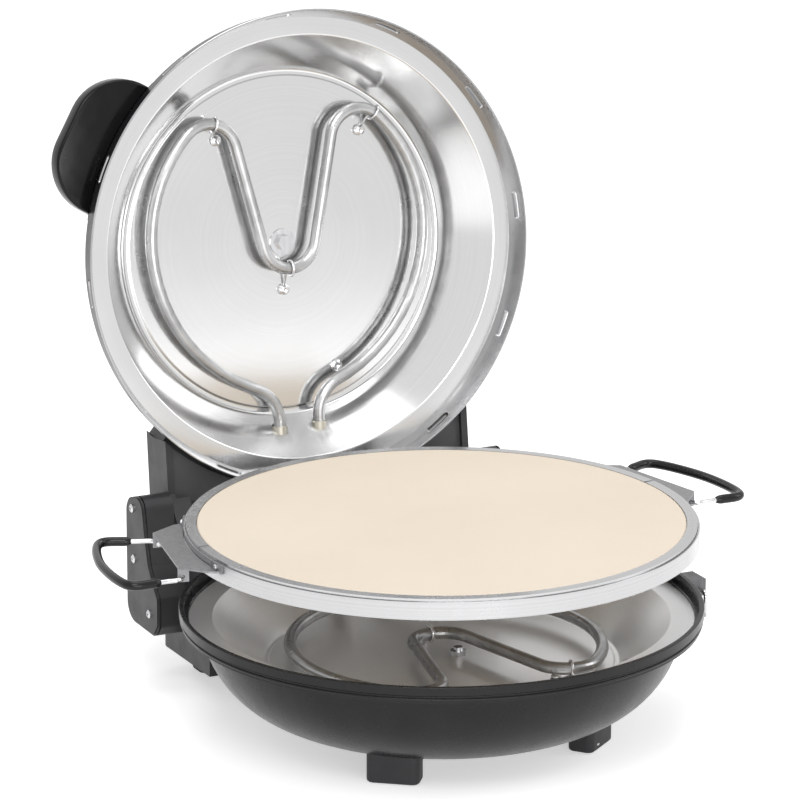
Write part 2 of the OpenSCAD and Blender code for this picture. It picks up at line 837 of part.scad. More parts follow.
handle_a = 59;
handle_w = 92;
handle_out = 187;
handle_z = rim_z + 6;
handle_h = 12;

module handle_screw_places() {
  for (a = [-9.5, 9.5])
    rotate([0, 0, -90 - handle_a + a])
      translate([dome_r, 0, handle_z + handle_h + 3.6])
        rotate([0, 90, 0]) children();
}

module at_handle() {
  rotate([0, 0, -90 - handle_a]) children();
}

module lid_handle() {
  color([0.06, 0.06, 0.07])
    on_lid()
      at_handle()
        difference() {
          translate([0, 0, handle_z])
            linear_extrude(handle_h)
              difference() {
                translate([100, -handle_w / 2]) rounded2(handle_out - 100, handle_w, 28);
                circle(r = dome_r + 3.05);
              }
          // Finger hollow under the paddle
          translate([0, 0, handle_z - 1])
            linear_extrude(handle_h - 2.5)
              difference() {
                translate([100, -handle_w / 2 + 5]) rounded2(handle_out - 105, handle_w - 10, 24);
                circle(r = dome_r + 8);
              }
        }
}

// Mounting strip that hugs the dome behind the paddle
module lid_handle_base() {
  color([0.05, 0.05, 0.06])
    on_lid()
      at_handle()
        difference() {
          intersection() {
            translate([0, 0, handle_z - 1.2])
              rotate([0, 0, -18]) rotate_extrude(angle = 36) box2(dome_r + 0.05, dome_r + 3, 0, 20);
            translate([0, 0, handle_z - 2]) cylinder(r = 400, h = 30);
          }
          rotate([0, 0, 90 + handle_a])
            handle_screw_places() cylinder(r = hole_r, h = 20, center = true);
        }
}

module lid_handle_screws() {
  color([0.5, 0.5, 0.52])
    on_lid()
      handle_screw_places()
        translate([0, 0, 3.05]) pan_screw(2.4, 1.6, 6);
}

// ---------- hinge block ----------

block_z0 = F + 24;
block_z1 = F + 56;
// Width of the hinge arms and of the strip that each shows beside the panel
arm_w = 14;
strip_w = 4.6;

module block_screw_places() {
  for (a = [64, 90, 116])
    rotate([0, 0, a])
      translate([dome_r, 0, pan_top_z + pan_t + 2.8])
        rotate([0, 90, 0]) children();
}

module hinge_block() {
  color([0.16, 0.16, 0.17])
    on_lid()
      difference() {
        union() {
          // Body between the dome and the hinge line
          translate([-block_half, 0, 0])
            rotate([90, 0, 90])
              linear_extrude(2 * block_half)
                round_poly([[80, block_z0], [166, block_z0], [177, block_z0 + 13],
                    [177, block_z1], [80, block_z1 - 3]], [0, 6, 6, 12, 0]);
          // Two arms with the hinge eyes
          for (s = [-1, 1])
            mirror([s < 0 ? 1 : 0, 0, 0])
              translate([block_half - arm_w, 0, 0])
                rotate([90, 0, 90])
                  linear_extrude(arm_w) {
                    polygon([[150, block_z0 + 0.2], [hinge_y - 8, hz - 8.944],
                        [hinge_y + 8.944, hz + 8], [177, block_z1 - 14], [150, block_z1 - 14]]);
                    translate([hinge_y, hz]) circle(r = 12);
                  }
        }
        dome_room(0.05);
        translate([-block_half - 1, hinge_y, hz])
          rotate([0, 90, 0]) cylinder(r = pin_r + pin_clear, h = 2 * block_half + 2);
        block_screw_places() cylinder(r = hole_r, h = 22, center = true);
        // Front panel seat
        box3(-block_half + strip_w, block_half - strip_w, 0, 158, block_z0 - 2, block_z0 + 5);
      }
}

// Flat panel between the arms, facing the counter when the lid is shut
module block_front_panel() {
  color([0.22, 0.22, 0.23])
    on_lid()
      difference() {
        box3(-block_half + strip_w + 0.1, block_half - strip_w - 0.1, 0, 157.9,
            block_z0 + 3, block_z0 + 4.95);
        dome_room(0.1);
      }
}

module block_screws() {
  color([0.6, 0.6, 0.62])
    on_lid()
      block_screw_places()
        mirror([0, 0, 1]) translate([0, 0, sheet_t + 0.08]) pan_screw(2.4, 1.6, 8);
}

// ---------- tray ----------

module pizza_stone() {
  color([0.93, 0.87, 0.80])
    on_tray()
      translate([0, 0, stone_z])
        rotate_extrude() {
          box2(0, stone_r - 0.8, 0, stone_t);
          box2(0, stone_r, 0.8, stone_t - 0.8);
          translate([stone_r - 0.8, 0.8]) circle(r = 0.8);
          translate([stone_r - 0.8, stone_t - 0.8]) circle(r = 0.8);
        }
}

// Hoop round the two ring halves. It carries the brackets.
module tray_hoop() {
  color([0.80, 0.80, 0.81])
    on_tray()
      difference() {
        rotate_extrude() box2(ring_wall_r + 0.25, hoop_r, seat_z, brim_z - hoop_step);
        bracket_screw_places() cylinder(r = hole_r, h = 12, center = true);
      }
}

// Ring section: brim, wall and inward shelf under the stone
module ring_section() {
  box2(stone_r + 0.2, ring_wall_r, brim_z - ring_t, brim_z);
  box2(ring_wall_r - ring_t, ring_wall_r, seat_z, brim_z - ring_t + eps);
  box2(stone_r - 8, ring_wall_r - ring_t + eps, seat_z, seat_z + ring_t);
}

module ring_half(a0, a1) {
  color([0.78, 0.78, 0.79])
    on_tray()
      difference() {
        rotate([0, 0, a0]) rotate_extrude(angle = a1 - a0) ring_section();
        bracket_screw_places() cylinder(r = hole_r, h = 12, center = true);
      }
}

split_a = 5.6;

module bracket_screw_places() {
  for (s = [-1, 1], t = [-1, 1])
    at_side(s)
      rotate([0, 0, t * 17])
        translate([hoop_r + ring_t, 0, plate_z + 3.2])
          rotate([0, 90, 0]) children();
}

// Bracket: flat plate along the ring, tabs on the ring wall, ears for the wire
module bracket(s) {
  color([0.50, 0.50, 0.51])
    on_tray()
      difference() {
        at_side(s) {
          translate([0, 0, plate_z])
            linear_extrude(ring_t)
              difference() {
                polygon([[150, -54], [163, -50], [hook_u + 3, -hook_half - 3],
                    [hook_u + 3, hook_half + 3], [163, 50], [150, 54]]);
                circle(r = hoop_r + 0.5);
              }
          for (t = [-1, 1]) {
            // Tab on the ring wall
            rotate([0, 0, t > 0 ? 14.6 : -19.4])
              rotate_extrude(angle = 4.8)
                box2(hoop_r + 0.02, hoop_r + ring_t, plate_z + 0.1, plate_z + 5.6);
            // Ear that carries the wire
            translate([hook_u - 4, t * (hook_half + 3 - ring_t / 2) - ring_t / 2, plate_z - hook_drop - 3])
              cube([7, ring_t, hook_drop + 4]);
          }
        }
        bracket_screw_places() cylinder(r = hole_r, h = 12, center = true);
        at_side(s)
          translate([hook_u, -60, hook_zz])
            rotate([-90, 0, 0]) cylinder(r = wire_r + 0.08, h = 120);
      }
}

hook_zz = plate_z - hook_drop;

module bracket_screws() {
  color([0.80, 0.80, 0.82])
    on_tray()
      bracket_screw_places() translate([0, 0, 0.02]) pan_screw(1.8, 1.3, 4.5);
}

// Wire handle lying flat: pivot ends along Y, arms spreading outward
module wire_handle(s) {
  y0 = hook_half + 3 - ring_t;
  ya = y0 + ring_t + 4.5;
  b = 5;
  color([0.78, 0.78, 0.80])
    on_tray()
      at_side(s)
        translate([hook_u, 0, hook_zz])
          for (m = [0, 1])
            mirror([0, m, 0]) {
              rod([0, y0 - 3, 0], [0, ya - 3, 0], wire_r);
              bend([3, ya - 3, 0], 3, 90, 180, wire_r);
              rod([3, ya, 0], [handle_reach - b, ya, 0], wire_r);
              bend([handle_reach - b, ya - b, 0], b, 0, 90, wire_r);
              rod([handle_reach, ya - b, 0], [handle_reach, -eps, 0], wire_r);
            }
}

// Black sleeve over the outer part of the wire
module grip(s) {
  ya = hook_half + 3 + 4.5;
  b = 5;
  color([0.05, 0.05, 0.06])
    on_tray()
      at_side(s)
        translate([hook_u, 0, hook_zz])
          difference() {
            for (m = [0, 1])
              mirror([0, m, 0]) {
                rod([15, ya, 0], [handle_reach - b, ya, 0], grip_r);
                bend([handle_reach - b, ya - b, 0], b, 0, 90, grip_r);
                rod([handle_reach, ya - b, 0], [handle_reach, -eps, 0], grip_r);
              }
            for (m = [0, 1])
              mirror([0, m, 0]) {
                rod([3, ya, 0], [handle_reach - b, ya, 0], wire_r + 0.03);
                bend([handle_reach - b, ya - b, 0], b, -0.01, 90.01, wire_r + 0.03);
                rod([handle_reach, ya - b, 0], [handle_reach, -eps, 0], wire_r + 0.03);
              }
          }
}

module left_hinge_box() { hinge_box(-1); }
module right_hinge_box() { hinge_box(1); }
module left_box_cover() { box_cover(-1); }
module right_box_cover() { box_cover(1); }
module front_ring_half() { ring_half(180 - split_a + 0.25, 360 + split_a - 0.25); }
module rear_ring_half() { ring_half(split_a + 0.25, 180 - split_a - 0.25); }
module left_bracket() { bracket(-1); }
module right_bracket() { bracket(1); }
module left_wire_handle() { wire_handle(-1); }
module right_wire_handle() { wire_handle(1); }
module left_grip() { grip(-1); }
module right_grip() { grip(1); }

translate([0, axis_y, 0]) {
  base_shell();
  base_reflector();
  lower_element();
  lower_ferrules();
  lower_clips();
  lower_clip_screws();
  sensor_stud();
  feet();
  foot_screws();
  rear_housing();
  housing_screws();
  left_hinge_box();
  right_hinge_box();
  left_box_cover();
  right_box_cover();
  box_cover_screws();
  hinge_pins();
  side_lugs();
  lug_hooks();
  power_inlet();
  inlet_pins();
  indicator_lamp();
  thermostat_knob();
  lid_dome();
  vent_collar();
  lid_reflector();
  upper_element();
  upper_ferrules();
  upper_clips();
  upper_clip_screws();
  lid_centre_bolt();
  lid_centre_washer();
  lid_handle();
  lid_handle_base();
  lid_handle_screws();
  hinge_block();
  block_front_panel();
  block_screws();
  pizza_stone();
  tray_hoop();
  front_ring_half();
  rear_ring_half();
  left_bracket();
  right_bracket();
  bracket_screws();
  left_wire_handle();
  right_wire_handle();
  left_grip();
  right_grip();
}
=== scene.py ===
import json
import math
import bmesh
import bpy
from mathutils import Matrix, Vector


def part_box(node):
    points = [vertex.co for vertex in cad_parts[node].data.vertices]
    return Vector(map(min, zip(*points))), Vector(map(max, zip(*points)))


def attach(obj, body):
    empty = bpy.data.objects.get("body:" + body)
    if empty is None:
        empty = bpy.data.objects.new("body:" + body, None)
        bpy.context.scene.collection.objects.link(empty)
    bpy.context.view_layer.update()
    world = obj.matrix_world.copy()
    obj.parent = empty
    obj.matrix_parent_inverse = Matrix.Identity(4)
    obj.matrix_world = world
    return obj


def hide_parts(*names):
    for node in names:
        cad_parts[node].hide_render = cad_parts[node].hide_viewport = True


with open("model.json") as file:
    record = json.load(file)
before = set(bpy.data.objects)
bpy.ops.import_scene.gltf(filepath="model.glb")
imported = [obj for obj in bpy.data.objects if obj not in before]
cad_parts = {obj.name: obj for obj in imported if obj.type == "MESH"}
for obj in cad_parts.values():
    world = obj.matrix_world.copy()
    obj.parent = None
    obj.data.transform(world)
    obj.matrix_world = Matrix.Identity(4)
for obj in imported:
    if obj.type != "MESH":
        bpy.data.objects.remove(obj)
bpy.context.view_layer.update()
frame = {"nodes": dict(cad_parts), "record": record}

NODES = frame["nodes"]


def new_object(name, data):
    obj = bpy.data.objects.new(name, data)
    bpy.context.collection.objects.link(obj)
    return obj


# ---- places taken from the frame, in metres ----------------------------------------------------
def middle(box):
    """Centre of a box given as its two corners."""
    return tuple((box[0][i] + box[1][i]) / 2 for i in range(3))


STONE_CENTRE = middle(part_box("pizza_stone"))
AXIS = Vector((STONE_CENTRE[0], STONE_CENTRE[1], 0.0))
FLANGE_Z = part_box("base_reflector")[1][2]
BASE_CENTRE = (AXIS.x, AXIS.y, FLANGE_Z)
LID_CENTRE = middle(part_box("lid_reflector"))
HINGE = Vector(next(j["pos_m"] for j in frame["record"]["behaviour"]["joints"]
                    if j["name"] == "lid_hinge"))
LID_OPEN = math.radians(97.0)  # angle of the lid in the rest pose

# ---- camera: the photograph's viewing angle, fitted on rims, flange, lid and stone -------------
CAM_AZIMUTH = -26.19
CAM_ELEVATION = 16.08
CAM_DISTANCE = 3.5
CAM_FOCAL_PX = 5585.0
CAM_LOOK = Vector((-0.0294, AXIS.y, FLANGE_Z + 0.1455))
SENSOR_MM = 36.0
FRAME_PX = 800.0


def make_camera():
    a, e = math.radians(CAM_AZIMUTH), math.radians(CAM_ELEVATION)
    back = Vector((math.sin(a) * math.cos(e), -math.cos(a) * math.cos(e), math.sin(e)))
    data = bpy.data.cameras.new("camera")
    data.sensor_width = SENSOR_MM
    data.lens = CAM_FOCAL_PX / FRAME_PX * SENSOR_MM
    data.clip_end = 50.0
    cam = new_object("camera", data)
    cam.location = CAM_LOOK + back * CAM_DISTANCE
    cam.rotation_euler = (-back).to_track_quat("-Z", "Y").to_euler()
    bpy.context.scene.camera = cam


# ---- materials ---------------------------------------------------------------------------------
class Mat:
    """A node material being built, with short calls for the nodes that it uses."""

    def __init__(self, name, color, rough, metal=0.0, spec=0.5):
        self.mat = bpy.data.materials.new(name)
        self.mat.use_nodes = True
        self.tree = self.mat.node_tree
        self.shader = self.tree.nodes["Principled BSDF"]
        self.put("Base Color", (*color, 1.0))
        self.put("Roughness", rough)
        self.put("Metallic", metal)
        self.put("Specular IOR Level", spec)
        self.coord = self.node("ShaderNodeTexCoord").outputs["Object"]
        self.height = None

    def put(self, socket, value):
        self.shader.inputs[socket].default_value = value

    def drive(self, socket, output):
        """Let a node's output set one of the shader's values."""
        self.link(output, self.shader.inputs[socket])

    def node(self, kind, **props):
        n = self.tree.nodes.new(kind)
        for key, value in props.items():
            setattr(n, key, value)
        return n

    def link(self, a, b):
        self.tree.links.new(a, b)

    def mapping(self, location=(0, 0, 0), rotation=(0, 0, 0), scale=(1, 1, 1)):
        m = self.node("ShaderNodeMapping", vector_type="TEXTURE")
        m.inputs["Location"].default_value = location
        m.inputs["Rotation"].default_value = rotation
        m.inputs["Scale"].default_value = scale
        self.link(self.coord, m.inputs["Vector"])
        return m.outputs["Vector"]

    def noise(self, scale, detail, roughness=0.55, vector=None):
        n = self.node("ShaderNodeTexNoise")
        n.inputs["Scale"].default_value = scale
        n.inputs["Detail"].default_value = detail
        n.inputs["Roughness"].default_value = roughness
        self.link(vector or self.coord, n.inputs["Vector"])
        return n.outputs["Fac"]

    def ramp(self, fac, low, high, color_low, color_high):
        r = self.node("ShaderNodeValToRGB")
        r.color_ramp.elements[0].position = low
        r.color_ramp.elements[1].position = high
        r.color_ramp.elements[0].color = (*color_low, 1.0)
        r.color_ramp.elements[1].color = (*color_high, 1.0)
        self.link(fac, r.inputs["Fac"])
        return r.outputs["Color"]

    def span(self, fac, low, high, out_low, out_high):
        r = self.node("ShaderNodeMapRange")
        for socket, value in zip(("From Min", "From Max", "To Min", "To Max"),
                                 (low, high, out_low, out_high)):
            r.inputs[socket].default_value = value
        self.link(fac, r.inputs["Value"])
        return r.outputs["Result"]

    def math(self, operation, a, b=None):
        n = self.node("ShaderNodeMath", operation=operation)
        for i, v in enumerate((a, b)):
            if v is None:
                continue
            if isinstance(v, (int, float)):
                n.inputs[i].default_value = v
            else:
                self.link(v, n.inputs[i])
        return n.outputs["Value"]

    def bump(self, height, strength, distance):
        """A bump on top of the bumps that the material already has."""
        b = self.node("ShaderNodeBump")
        b.inputs["Strength"].default_value = strength
        b.inputs["Distance"].default_value = distance
        self.link(height, b.inputs["Height"])
        if self.height is not None:
            self.link(self.height, b.inputs["Normal"])
        self.height = b.outputs["Normal"]
        self.drive("Normal", self.height)

    def spun(self, centre, tilt, lines_per_m, strength, distance):
        """Fine rings left by spinning or polishing on a lathe.

        The lathe's axis is Z after a tilt about X, through the centre."""
        axes = self.node("ShaderNodeSeparateXYZ")
        self.link(self.mapping(location=centre, rotation=(tilt, 0, 0)), axes.inputs["Vector"])
        x, y, z = (axes.outputs[name] for name in "XYZ")
        square = self.math("ADD", self.math("MULTIPLY", x, x), self.math("MULTIPLY", y, y))
        across = self.node("ShaderNodeCombineXYZ")
        self.link(self.math("SQRT", square), across.inputs["X"])
        self.link(z, across.inputs["Y"])
        rings = self.noise(lines_per_m, 4.0, roughness=0.7, vector=across.outputs["Vector"])
        self.bump(rings, strength, distance)
        return rings


def black_paint(name, centre, tilt):
    """Satin black on spun sheet, with a fine grain."""
    m = Mat(name, (0.012, 0.012, 0.013), 0.34, spec=0.22)
    m.drive("Base Color", m.ramp(m.noise(38, 4), 0.3, 0.75,
                                 (0.010, 0.010, 0.011), (0.016, 0.016, 0.017)))
    m.drive("Roughness", m.span(m.noise(60, 3), 0.3, 0.7, 0.24, 0.32))
    m.bump(m.noise(900, 3), 0.18, 0.0002)
    m.spun(centre, tilt, 420, 0.05, 0.0003)
    return m.mat


def polished_pan(name, centre, tilt, light, rough, metal=1.0):
    """Bright pressed sheet: faint rings from polishing, and slight waves that bend reflections."""
    m = Mat(name, (0.66, 0.66, 0.66), rough, metal=metal)
    rings = m.spun(centre, tilt, 900, 0.025, 0.0002)
    m.drive("Base Color", m.ramp(rings, 0.25, 0.8, (light - 0.03,) * 3, (light + 0.03,) * 3))
    m.drive("Roughness", m.span(m.noise(20, 2), 0.3, 0.72, rough - 0.02, rough + 0.03))
    m.bump(m.noise(14, 1), 0.05, 0.0012)
    return m.mat


def tube_steel():
    """The elements' grey, slightly pitted sheath."""
    m = Mat("element_tube", (0.30, 0.30, 0.31), 0.34, metal=1.0)
    m.drive("Base Color", m.ramp(m.noise(70, 5), 0.3, 0.72,
                                 (0.32, 0.32, 0.322), (0.45, 0.45, 0.452)))
    m.drive("Roughness", m.span(m.noise(120, 2), 0.3, 0.7, 0.26, 0.36))
    m.bump(m.noise(650, 3), 0.25, 0.0002)
    return m.mat


def stone_clay():
    """Pale fired stone: soft broad patches, with a fine and a coarse grain."""
    m = Mat("cordierite", (0.82, 0.72, 0.61), 0.9, spec=0.2)
    m.drive("Base Color", m.ramp(m.noise(9, 4), 0.25, 0.8,
                                 (0.745, 0.65, 0.54), (0.785, 0.695, 0.585)))
    m.bump(m.noise(1100, 2), 0.35, 0.0003)
    m.bump(m.noise(160, 3), 0.12, 0.0004)
    return m.mat


def sheet_steel(name, low, high, rough, metal=1.0):
    """Bare metal brushed along Z."""
    m = Mat(name, low, rough, metal=metal)
    brushed = m.noise(300, 4, vector=m.mapping(scale=(1, 1, 14)))
    m.drive("Base Color", m.ramp(brushed, 0.25, 0.75, low, high))
    m.drive("Roughness", m.span(m.noise(45, 3), 0.3, 0.7, rough - 0.06, rough + 0.08))
    m.bump(brushed, 0.12, 0.0002)
    return m.mat


def ring_steel(name, centre, tilt, low, high, rough):
    """Sheet rolled or spun into a ring: its grain runs round the axis."""
    m = Mat(name, low, rough, metal=1.0)
    grain = m.spun(centre, tilt, 1300, 0.10, 0.0002)
    m.drive("Base Color", m.ramp(grain, 0.25, 0.75, low, high))
    m.drive("Roughness", m.span(m.noise(45, 3), 0.3, 0.7, rough - 0.05, rough + 0.07))
    return m.mat


def moulded(name, low, high, rough, grain=0.35, spec=0.35):
    """Moulded plastic or rubber with a fine surface grain of the given strength."""
    m = Mat(name, low, rough, spec=spec)
    m.drive("Base Color", m.ramp(m.noise(30, 3), 0.3, 0.75, low, high))
    m.drive("Roughness", m.span(m.noise(80, 3), 0.3, 0.7, rough - 0.05, rough + 0.07))
    m.bump(m.noise(1500, 2), grain, 0.00025)
    return m.mat


# ---- mesh tools: outlines in millimetres, placed in the frame by a matrix ----------------------
MM = 0.001
FRONT = -90.0  # degrees about the axis
ROD_EDGE = 0.5
SHARP_FROM = math.radians(28)
CORNER_FROM = math.radians(50)


def turn(axis, degrees):
    return Matrix.Rotation(math.radians(degrees), 4, axis)


def move(x, y, z):
    return Matrix.Translation((x, y, z))


def arc_points(centre, radius, start, end, steps):
    angles = (start + (end - start) * k / steps for k in range(steps + 1))
    return [(centre[0] + radius * math.cos(t), centre[1] + radius * math.sin(t)) for t in angles]


def rectangle(half_x, half_y):
    return [(-half_x, -half_y), (half_x, -half_y), (half_x, half_y), (-half_x, half_y)]


def soften(points, radii, steps=6):
    """The closed polyline with the corners that have a radius turned into arcs."""
    out = []
    n = len(points)
    for i, (q, r) in enumerate(zip(points, radii)):
        q = Vector(q)
        if not r:
            out.append(tuple(q))
            continue
        a = (Vector(points[i - 1]) - q).normalized()
        b = (Vector(points[(i + 1) % n]) - q).normalized()
        half = a.angle(b) / 2
        c = q + (a + b).normalized() * r / math.sin(half)
        u, v = q + a * r / math.tan(half) - c, q + b * r / math.tan(half) - c
        bend = math.atan2(u.x * v.y - u.y * v.x, u.dot(v))
        for k in range(steps + 1):
            t = bend * k / steps
            out.append((c.x + u.x * math.cos(t) - u.y * math.sin(t),
                        c.y + u.x * math.sin(t) + u.y * math.cos(t)))
    return out


def smooth_line(points, steps=8):
    """Points of a Catmull-Rom curve through the given points."""
    pts = [Vector(p) for p in points]
    pts = [2 * pts[0] - pts[1]] + pts + [2 * pts[-1] - pts[-2]]
    out = []
    for i in range(1, len(pts) - 2):
        a, b, c, d = pts[i - 1:i + 3]
        for k in range(steps):
            t = k / steps
            out.append(0.5 * (2 * b + (c - a) * t + (2 * a - 5 * b + 4 * c - d) * t * t
                              + (3 * b - a - 3 * c + d) * t ** 3))
    out.append(pts[-2])
    return out


def mesh_object(name, verts, faces, place, face_material=None):
    """Clean closed mesh with its normals outwards."""
    mesh = bpy.data.meshes.new(name)
    mesh.from_pydata([tuple(place @ Vector(v)) for v in verts], [], faces)
    if face_material:
        mesh.polygons.foreach_set("material_index", face_material)
    b = bmesh.new()
    b.from_mesh(mesh)
    bmesh.ops.remove_doubles(b, verts=b.verts, dist=2e-6)
    bmesh.ops.dissolve_degenerate(b, edges=b.edges, dist=1e-7)
    bmesh.ops.recalc_face_normals(b, faces=b.faces)
    b.to_mesh(mesh)
    b.free()
    return new_object(name, mesh)


def revolve(name, outline, place, start=0.0, end=2 * math.pi, steps=192, marks=None):
    """Solid swept by a closed (radius, height) outline about the local Z axis.

    Marks give the material index of the band that each edge of the outline sweeps."""
    n = len(outline)
    whole = end - start > 2 * math.pi - 1e-6
    cols = steps if whole else steps + 1
    verts = []
    for i in range(cols):
        a = start + (end - start) * i / steps
        verts += [(r * math.cos(a), r * math.sin(a), z) for r, z in outline]
    faces, index = [], []
    for i in range(steps):
        j = (i + 1) % cols
        for k in range(n):
            m = (k + 1) % n
            faces.append((i * n + k, i * n + m, j * n + m, j * n + k))
            index.append(marks[k] if marks else 0)
    if not whole:
        faces += [tuple(range(n - 1, -1, -1)), tuple((cols - 1) * n + k for k in range(n))]
        index += [0, 0]
    return mesh_object(name, verts, faces, place, index)


def prism(name, outline, z0, z1, place):
    """Upright solid with a closed (x, y) outline."""
    n = len(outline)
    verts = [(x, y, z) for z in (z0, z1) for x, y in outline]
    faces = [tuple(range(n - 1, -1, -1)), tuple(range(n, 2 * n))]
    faces += [(k, (k + 1) % n, n + (k + 1) % n, n + k) for k in range(n)]
    return mesh_object(name, verts, faces, place)


def sweep(name, line, radii, place, sides=20):
    """Round rod along a line in the local XY plane, with a radius at each point."""
    verts, faces = [], []
    n = len(line)
    for i, (q, r) in enumerate(zip(line, radii)):
        d = (line[min(i + 1, n - 1)] - line[max(i - 1, 0)]).normalized()
        for k in range(sides):
            a = 2 * math.pi * k / sides
            verts.append((q.x - d.y * r * math.cos(a), q.y + d.x * r * math.cos(a),
                          r * math.sin(a)))
    for i in range(n - 1):
        for k in range(sides):
            m = (k + 1) % sides
            faces.append((i * sides + k, i * sides + m, (i + 1) * sides + m, (i + 1) * sides + k))
    faces += [tuple(range(sides - 1, -1, -1)), tuple((n - 1) * sides + k for k in range(sides))]
    return mesh_object(name, verts, faces, place)


def rod_shape(r, h, bore=0.0, z0=0.0):
    """Outline to revolve into a rod or bush with chamfered outer edges."""
    z1 = z0 + h
    return [(bore, z0), (r - ROD_EDGE, z0), (r, z0 + ROD_EDGE), (r, z1 - ROD_EDGE),
            (r - ROD_EDGE, z1), (bore, z1)]


def apply_modifier(obj, kind, **props):
    m = obj.modifiers.new("m", kind)
    for key, value in props.items():
        setattr(m, key, value)
    bpy.context.view_layer.update()
    done = bpy.data.meshes.new_from_object(
        obj.evaluated_get(bpy.context.evaluated_depsgraph_get()))
    obj.modifiers.clear()
    old = obj.data
    obj.data = done
    bpy.data.meshes.remove(old)


def cut(obj, tool):
    """Take the tool's solid out of the object, and the tool out of the scene."""
    apply_modifier(obj, "BOOLEAN", operation="DIFFERENCE", solver="EXACT", object=tool)
    bpy.data.objects.remove(tool)


def round_edges(obj, width, segments):
    apply_modifier(obj, "BEVEL", width=width * MM, segments=segments, limit_method="ANGLE",
                   angle_limit=CORNER_FROM)


def join(objs):
    """One object from several, under the first one's name."""
    verts, faces = [], []
    for o in objs:
        base = len(verts)
        verts += [tuple(v.co) for v in o.data.vertices]
        faces += [tuple(base + i for i in f.vertices) for f in o.data.polygons]
    for o in objs[1:]:
        bpy.data.objects.remove(o)
    first = objs[0]
    first.data.clear_geometry()
    first.data.from_pydata(verts, [], faces)
    return first


def pan_head(name, r, h, place):
    """Screw head with a cross recess."""
    head = revolve(name, [(0, 0), (r, 0), (r, h * 0.5), (r * 0.62, h), (0, h)], place, steps=40)
    for arm in (rectangle(r * 0.55, 0.35), rectangle(0.35, r * 0.55)):
        cut(head, prism("recess", arm, h * 0.45, h + 1, place))
    return head


def copy_of(node, name, mirrored=False, right_only=False):
    """A piece made from a CAD node's mesh, mirrored across the part's middle plane or with
    only what lies right of it kept."""
    b = bmesh.new()
    b.from_mesh(NODES[node].data)
    if right_only:
        bmesh.ops.delete(b, geom=[v for v in b.verts if v.co.x < AXIS.x], context="VERTS")
    if mirrored:
        for v in b.verts:
            v.co.x = 2 * AXIS.x - v.co.x
        bmesh.ops.reverse_faces(b, faces=b.faces)
    bmesh.ops.remove_doubles(b, verts=b.verts, dist=1e-6)
    mesh = bpy.data.meshes.new(name)
    b.to_mesh(mesh)
    b.free()
    return new_object(name, mesh)


def finish_piece(obj, body, slot, material, *stands_for):
    """Material, shading and place in the assembly. A piece that has its materials gives None."""
    if material:
        obj.data.materials.append(material)
    obj.data.polygons.foreach_set("use_smooth", [True] * len(obj.data.polygons))
    obj.data.set_sharp_from_angle(angle=SHARP_FROM)
    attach(obj, body)
    if stands_for:
        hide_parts(*stands_for)


def dress(material, *names):
    """Give CAD nodes their material."""
    for name in names:
        materials = NODES[name].data.materials
        if not materials:
            materials.append(material)
        for slot in NODES[name].material_slots:
            slot.material = material


# ---- pans and ferrules, in millimetres ---------------------------------------------------------
PAN_SHEET = 0.8
PAN_CHANNEL = 1.2  # depth of the channel round the floor
TERMINAL_X = 14.45  # of the element's two ends
TUBE_R = 4.0
FERRULE_R = 5.0
FERRULE_PLAY = 0.1  # to the tube inside and to the pan's hole
HOLE_LENGTH = 40
BASE_PLACE = Matrix.Translation((AXIS.x, AXIS.y, FLANGE_Z)) @ Matrix.Scale(MM, 4)


def pan_outline(flange_r, top_r, floor_r, step_r, floor, top):
    """Stamped pan: flange, straight conical wall, narrow channel and raised floor."""
    low = floor + PAN_CHANNEL
    face = [(flange_r, top), (top_r, top), (floor_r, low), (step_r + 0.9, low),
            (step_r, floor), (0.0, floor)]
    back = [(0.0, floor), (step_r - 0.2, floor), (step_r + 0.7, low), (floor_r + 0.3, low),
            (top_r + 0.9, top), (flange_r, top)]
    back = [(r, w + PAN_SHEET) for r, w in back]
    return soften(face + back, [0, 1.6, 3.0, 0.9, 0.9, 0, 0, 0.4, 0.6, 3.4, 1.0, 0])


def terminal_rods(name, place, y, w, shape):
    """The shape turned about each of the element's two terminals, starting at y, at height w."""
    return [revolve(name, shape, place @ move(x, y, w) @ turn("X", -90), steps=48)
            for x in (-TERMINAL_X, TERMINAL_X)]


def bore_terminals(pan, place, y, w):
    """Cut the holes for the ferrules through the pan's wall."""
    shape = rod_shape(FERRULE_R + FERRULE_PLAY, HOLE_LENGTH)
    for tool in terminal_rods("hole", place, y, w, shape):
        cut(pan, tool)


def make_ferrules(name, place, y, w, length):
    """The two bushes round the terminals, as one piece."""
    return join(terminal_rods(name, place, y, w,
                              rod_shape(FERRULE_R, length, TUBE_R + FERRULE_PLAY)))


# ---- lid, in millimetres: heights (_W) count up from the rim's plane with the lid shut ---------
RIM_Z = FLANGE_Z + 16 * MM
LID_PLACE = (Matrix.Translation(HINGE) @ Matrix.Rotation(-LID_OPEN, 4, "X")
             @ Matrix.Translation(-HINGE) @ Matrix.Translation((AXIS.x, AXIS.y, RIM_Z))
             @ Matrix.Scale(MM, 4))
SHEET = 1.2
RIM_R = 157.8
FOLD_R = 153.0  # where the collar meets the dome
FOLD_W = 14.3
DOME_W = 68.0
DOME_EDGE_W = FOLD_W + 0.9
DOME_SLOPE = math.radians(31)  # of the wall, off upright
DOME_ROUND = 45.0

LID_ELEMENT_W = 37.0
LID_HOLE_Y = 105
LID_FERRULE_Y = 120.6
LID_FERRULE_LENGTH = 8.5

SLOT_COUNT = 12
SLOT_FIRST = FRONT + 25.5
SLOT_W = 7
SLOT_HALF_WIDE = 2.1
SLOT_HALF_LONG = 9.5
SLOT_CORNER = 2.05

SADDLE_R = 159.2
SADDLE_W = (16.0, 42.0)  # from, to
SADDLE_FROM, SADDLE_TO = math.radians(47), math.radians(133)
BLOCK_SCREW_TURNS = (64, 90, 116)
BLOCK_SCREW_W = 26

